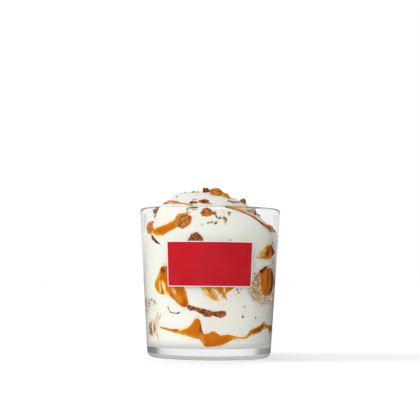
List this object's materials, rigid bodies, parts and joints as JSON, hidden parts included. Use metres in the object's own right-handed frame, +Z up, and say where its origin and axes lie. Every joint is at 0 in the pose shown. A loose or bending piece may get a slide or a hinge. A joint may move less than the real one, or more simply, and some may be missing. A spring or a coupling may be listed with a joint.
{
  "type": "soft serve cup",
  "caption": "Short glass tumbler filled with vanilla soft serve, caramel layers and biscuit pieces, domed above the rim, with a plain red label.",
  "frame": {"origin": "bottom centre of the glass, on the surface it stands on", "axes": "+Z up along the glass, label facing -Y"},
  "size_m": [0.084, 0.084, 0.1004],
  "materials": {
    "glass": "clear polished",
    "cream": "soft satin frozen dairy",
    "caramel": "glossy translucent amber sauce",
    "biscuit": "rough baked crumb",
    "crumb": "rough crumbs in cream",
    "paper": "gloss printed red with a pale edge"
  },
  "bodies": {
    "root": {"biscuit_above_label": "biscuit", "biscuit_back_crown": "biscuit", "biscuit_back_high": "biscuit", "biscuit_back_low": "biscuit", "biscuit_back_middle": "biscuit", "biscuit_back_right": "biscuit", "biscuit_back_slope": "biscuit", "biscuit_cluster_large": "biscuit", "biscuit_cluster_small": "biscuit", "biscuit_far_left": "biscuit", "biscuit_front": "biscuit", "biscuit_front_left": "biscuit", "biscuit_left": "biscuit", "biscuit_left_edge": "biscuit", "biscuit_low_left": "biscuit", "biscuit_peak": "biscuit", "biscuit_right": "biscuit", "biscuit_right_edge": "biscuit", "biscuit_right_low": "biscuit", "biscuit_strip": "biscuit", "biscuit_under_peak": "biscuit", "biscuit_upper_left": "biscuit", "caramel_back": "caramel", "caramel_bottom": "caramel", "caramel_centre": "caramel", "caramel_left": "caramel", "caramel_left_back": "caramel", "caramel_right": "caramel", "caramel_right_upper": "caramel", "caramel_upper_back": "caramel", "caramel_upper_left": "caramel", "crumb_layer_left": "crumb", "crumb_layer_right": "crumb", "glass": "glass", "label": "paper", "soft_serve": "cream"}
  },
  "joints": []
}
